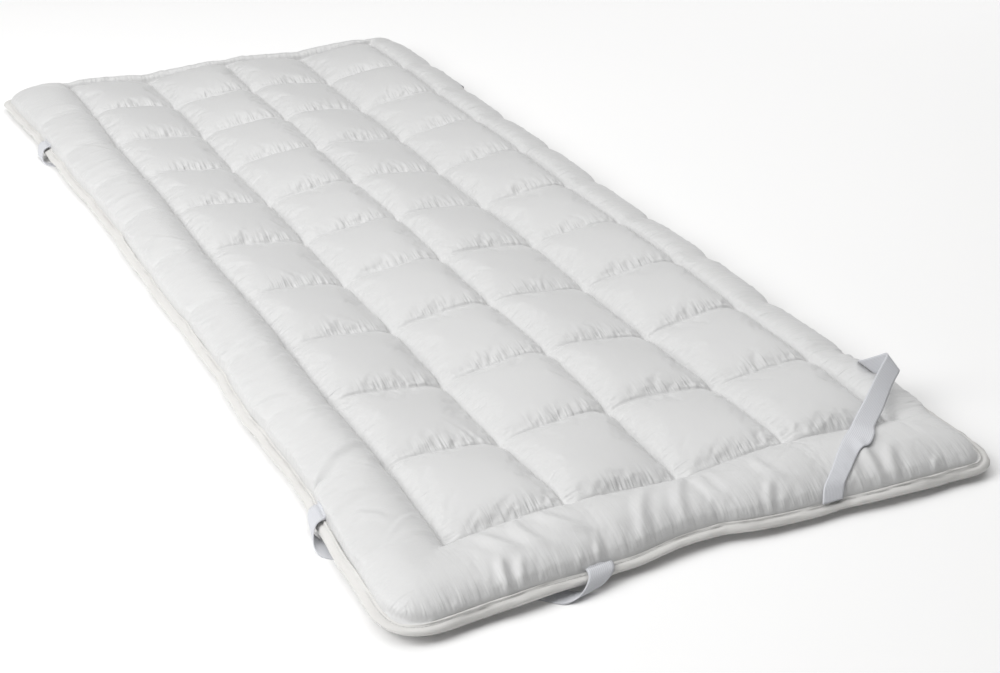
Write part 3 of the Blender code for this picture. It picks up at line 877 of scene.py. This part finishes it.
# the strap thrown up over its corner: middle of each section, heading of its width from the
# right edge to the left, how far the left edge tips up, and the width
overStrap = {
    "name": "elastic_front_right", "node": "strap_front_right",
    "sections": (
        (0.1705, -0.9770, 0.0215, 180, 0, 0.031), (0.181, -0.9640, 0.0345, 174, 2, 0.0305),
        (0.205, -0.9460, 0.0440, 165, 0, 0.0285), (0.228, -0.9275, 0.0510, 162, 0, 0.030),
        (0.252, -0.9130, 0.0540, 130, 2, 0.0350), (0.272, -0.8975, 0.0550, 131, 2, 0.0330),
        (0.288, -0.8810, 0.0540, 137, 14, 0.0285), (0.329, -0.8480, 0.0560, 124, 23, 0.028),
        (0.378, -0.8080, 0.0640, 113, 34, 0.0275), (0.404, -0.7895, 0.0700, 110, 38, 0.028),
        (0.409, -0.7820, 0.0690, 110, 40, 0.028), (0.4015, -0.7660, 0.0575, 114, 41, 0.028),
        (0.3965, -0.7500, 0.0465, 118, 36, 0.028), (0.4010, -0.7370, 0.0405, 110, 20, 0.028),
        (0.4090, -0.7290, 0.0345, 98, 6, 0.029), (0.4165, -0.7260, 0.0265, 91, 0, 0.030),
    ),
}


def overStrapSections(rows):
    sections = []
    for x, y, z, heading, tip, width in rows:
        heading, tip = math.radians(heading), math.radians(tip)
        level = Vector((math.cos(heading), math.sin(heading), 0))
        half = (level * math.cos(tip) + Vector((0, 0, math.sin(tip)))) * width / 2
        middle = Vector((x, y, z))
        sections.append((middle - half, middle + half))
    return sections


def smoothRun(points, steps):
    ends = [points[0], *points, points[-1]]
    heads = []
    for before, here, after in zip(ends, ends[1:], ends[2:]):
        heads.append(((here - before).normalized() + (after - here).normalized()).normalized())
    spans = [(there - here).length for here, there in zip(points, points[1:])]
    spans = [spans[0], *spans, spans[-1]]
    run = []
    for index in range(len(points) - 1):
        start, stop = points[index], points[index + 1]
        leave = start + heads[index] * min(spans[index:index + 2]) / 3
        arrive = stop - heads[index + 1] * min(spans[index + 1:index + 3]) / 3
        run += interpolate_bezier(start, leave, arrive, stop, steps + 1)[:-1]
    return run + [points[-1]]


def laidOn(point):
    floor = strapCloth["rest"] / 2
    below = padSurface.ray_cast(Vector((point.x, point.y, 1)), Vector((0, 0, -1)))[0]
    if below is not None and below.z - point.z < strapCloth["layReach"]:
        floor = below.z + strapCloth["lie"]
    return Vector((point.x, point.y, max(point.z, floor)))


def makeStrap(name, sections):
    farEdge = smoothRun([pair[0] for pair in sections], strapCloth["steps"])
    nearEdge = smoothRun([pair[1] for pair in sections], strapCloth["steps"])
    columns = strapCloth["columns"]
    places = np.zeros((len(farEdge), columns + 1, 3))
    for row, (far, near) in enumerate(zip(farEdge, nearEdge)):
        for column in range(columns + 1):
            places[row, column] = laidOn(far.lerp(near, column / columns))
    strap = gridSheet(name, columns, len(farEdge) - 1, places)
    thicken = strap.modifiers.new("thickness", "SOLIDIFY")
    thicken.thickness = strapCloth["thickness"]
    thicken.offset = 0
    applyAll(strap)
    strap.data.shade_smooth()
    return strap


straps = {}
for name, strap in underStraps.items():
    straps[name] = makeStrap(name, underStrapSections(strap))
straps[overStrap["name"]] = makeStrap(overStrap["name"], overStrapSections(overStrap["sections"]))
print("straps made")


# materials
def addNode(tree, kind, **values):
    node = tree.nodes.new(kind)
    for key, value in values.items():
        if hasattr(node, key):
            setattr(node, key, value)
        else:
            node.inputs[key.replace("_", " ")].default_value = value
    return node


def link(tree, *joints):
    # each joint runs from an output of one node to an input of another
    for source, output, target, socket in joints:
        tree.links.new(source.outputs[output], target.inputs[socket])


def newMaterial(name, roughness, sheen, tones):
    # its colour runs between two near tones, as the pattern linked to the ramp says
    material = bpy.data.materials.new(name)
    material.use_nodes = True
    tree = material.node_tree
    shader = tree.nodes["Principled BSDF"]
    shader.inputs["Roughness"].default_value = roughness
    shader.inputs["Sheen Weight"].default_value = sheen
    coords = addNode(tree, "ShaderNodeTexCoord")
    ramp = addNode(tree, "ShaderNodeValToRGB")
    for stop, tone in zip(ramp.color_ramp.elements, tones):
        stop.color = (*tone, 1)
    link(tree, (ramp, "Color", shader, "Base Color"))
    return material, tree, shader, coords, ramp


def clothMaterial():
    material, tree, shader, coords, ramp = newMaterial(
        "pad_cloth_fine", 0.42, 0.25, ((0.665, 0.665, 0.663), (0.69, 0.69, 0.686)))
    shader.inputs["Sheen Roughness"].default_value = 0.4
    tint = addNode(tree, "ShaderNodeTexNoise", Scale=6, Detail=3)
    warp = addNode(tree, "ShaderNodeTexWave", bands_direction="X", Scale=320)
    weft = addNode(tree, "ShaderNodeTexWave", bands_direction="Y", Scale=320)
    weave = addNode(tree, "ShaderNodeMath", operation="ADD")
    weaveBump = addNode(tree, "ShaderNodeBump", Strength=0.25, Distance=0.0002)
    creases = addNode(tree, "ShaderNodeTexNoise", Scale=70, Detail=4)
    creaseBump = addNode(tree, "ShaderNodeBump", Strength=0.15, Distance=0.0006)
    foldBump = addNode(tree, "ShaderNodeBump", Strength=1.0, Distance=0.0014)
    # fine folds at right angles to the seams, as strong as the mesh says
    shares = addNode(tree, "ShaderNodeAttribute", attribute_name="foldShares")
    parts = addNode(tree, "ShaderNodeSeparateXYZ")
    both = addNode(tree, "ShaderNodeMath", operation="ADD")
    link(tree, (shares, "Vector", parts, 0), (both, "Value", foldBump, "Height"))
    for index, (axis, scale) in enumerate((("X", (150, 16, 20)), ("Y", (16, 150, 20)))):
        turned = addNode(tree, "ShaderNodeMapping", Scale=scale)
        folds = addNode(tree, "ShaderNodeTexNoise", Scale=1, Detail=1.5, Distortion=0.3)
        sharper = addNode(tree, "ShaderNodeMapRange", From_Min=0.38, From_Max=0.68)
        strong = addNode(tree, "ShaderNodeMath", operation="MULTIPLY")
        link(tree, (coords, "Object", turned, "Vector"), (turned, "Vector", folds, "Vector"),
             (folds, "Fac", sharper, "Value"), (sharper, "Result", strong, 0),
             (parts, axis, strong, 1), (strong, "Value", both, index))
    for pattern in (tint, warp, weft, creases):
        link(tree, (coords, "Object", pattern, "Vector"))
    link(tree, (tint, "Fac", ramp, "Fac"), (warp, "Fac", weave, 0), (weft, "Fac", weave, 1),
         (weave, "Value", weaveBump, "Height"), (creases, "Fac", creaseBump, "Height"),
         (foldBump, "Normal", creaseBump, "Normal"), (creaseBump, "Normal", weaveBump, "Normal"),
         (weaveBump, "Normal", shader, "Normal"))
    return material


def tapeMaterial():
    material, tree, shader, coords, ramp = newMaterial(
        "binding_tape_twill", 0.55, 0.2, ((0.67, 0.66, 0.64), (0.72, 0.71, 0.69)))
    twill = addNode(tree, "ShaderNodeTexWave", bands_direction="DIAGONAL", Scale=260)
    tint = addNode(tree, "ShaderNodeTexNoise", Scale=20, Detail=3)
    bump = addNode(tree, "ShaderNodeBump", Strength=0.3, Distance=0.0003)
    link(tree, (coords, "Object", twill, "Vector"), (coords, "Object", tint, "Vector"),
         (tint, "Fac", ramp, "Fac"), (twill, "Fac", bump, "Height"),
         (bump, "Normal", shader, "Normal"))
    return material


def elasticMaterial():
    material, tree, shader, coords, ramp = newMaterial(
        "strap_elastic_ribbed", 0.6, 0.3, ((0.61, 0.62, 0.655), (0.73, 0.74, 0.77)))
    ribs = addNode(tree, "ShaderNodeTexWave", bands_direction="X", Scale=4.5)
    picks = addNode(tree, "ShaderNodeTexWave", bands_direction="Y", Scale=90)
    weave = addNode(tree, "ShaderNodeMath", operation="ADD")
    bump = addNode(tree, "ShaderNodeBump", Strength=0.4, Distance=0.0004)
    link(tree, (coords, "UV", ribs, "Vector"), (coords, "UV", picks, "Vector"),
         (ribs, "Fac", ramp, "Fac"), (ribs, "Fac", weave, 0), (picks, "Fac", weave, 1),
         (weave, "Value", bump, "Height"), (bump, "Normal", shader, "Normal"))
    return material


def threadMaterial():
    material, tree, shader, coords, ramp = newMaterial(
        "sewing_thread", 0.45, 0.2, ((0.66, 0.66, 0.65), (0.76, 0.76, 0.75)))
    twist = addNode(tree, "ShaderNodeTexWave", bands_direction="DIAGONAL", Scale=900)
    bump = addNode(tree, "ShaderNodeBump", Strength=0.3, Distance=0.0001)
    link(tree, (coords, "Object", twist, "Vector"), (twist, "Fac", ramp, "Fac"),
         (twist, "Fac", bump, "Height"), (bump, "Normal", shader, "Normal"))
    return material


addFinish(filledPad, clothMaterial())
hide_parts("quilted_pad")

addFinish(boundEdge, tapeMaterial())
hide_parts("edge_binding")

sewingThread = threadMaterial()
addFinish(quiltingThread, sewingThread)
addFinish(bindingThread, sewingThread)

strapNodes = {name: strap["node"] for name, strap in underStraps.items()}
strapNodes[overStrap["name"]] = overStrap["node"]
strapElastic = elasticMaterial()
for name, piece in straps.items():
    addFinish(piece, strapElastic)
    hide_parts(strapNodes[name])
print("finishes given")


# pale floor and soft studio light
studio = {
    "floorSize": 30, "floorTones": ((0.98, 0.978, 0.975), (0.99, 0.988, 0.985)), "sky": 0.15,
    "lights": {
        "key": {"place": (-3.0, -0.2, 2.3), "aim": (0, -0.2, 0), "size": 2.4, "watts": 97},
        "top": {"place": (0.4, 0.9, 5.0), "aim": (0.2, 0.1, 0), "size": 7.0, "watts": 222},
        "side": {"place": (3.0, 1.6, 1.5), "aim": (0.6, 0.5, 0), "size": 2.0, "watts": 14},
    },
}


def addStudio(setup):
    nothingSelected()
    bpy.ops.mesh.primitive_plane_add(size=setup["floorSize"], location=(0, 0, 0))
    floor = bpy.context.object
    floor.name = "floor"
    material, tree, shader, coords, ramp = newMaterial("floor_pale", 0.8, 0, setup["floorTones"])
    shade = addNode(tree, "ShaderNodeTexNoise", Scale=1.5, Detail=2)
    link(tree, (coords, "Object", shade, "Vector"), (shade, "Fac", ramp, "Fac"))
    floor.data.materials.append(material)
    for name, light in setup["lights"].items():
        aim = Vector(light["place"]) - Vector(light["aim"])
        bpy.ops.object.light_add(type="AREA", location=light["place"],
                                 rotation=aim.to_track_quat("Z", "Y").to_euler())
        lamp = bpy.context.object
        lamp.name = name + "_light"
        lamp.data.size = light["size"]
        lamp.data.energy = light["watts"]
    world = bpy.data.worlds.new("studio")
    world.use_nodes = True
    sky = world.node_tree.nodes["Background"].inputs
    sky["Color"].default_value = (1, 1, 1, 1)
    sky["Strength"].default_value = setup["sky"]
    bpy.context.scene.world = world
    bpy.context.scene.view_settings.view_transform = "Standard"


addStudio(studio)
print("studio lit")
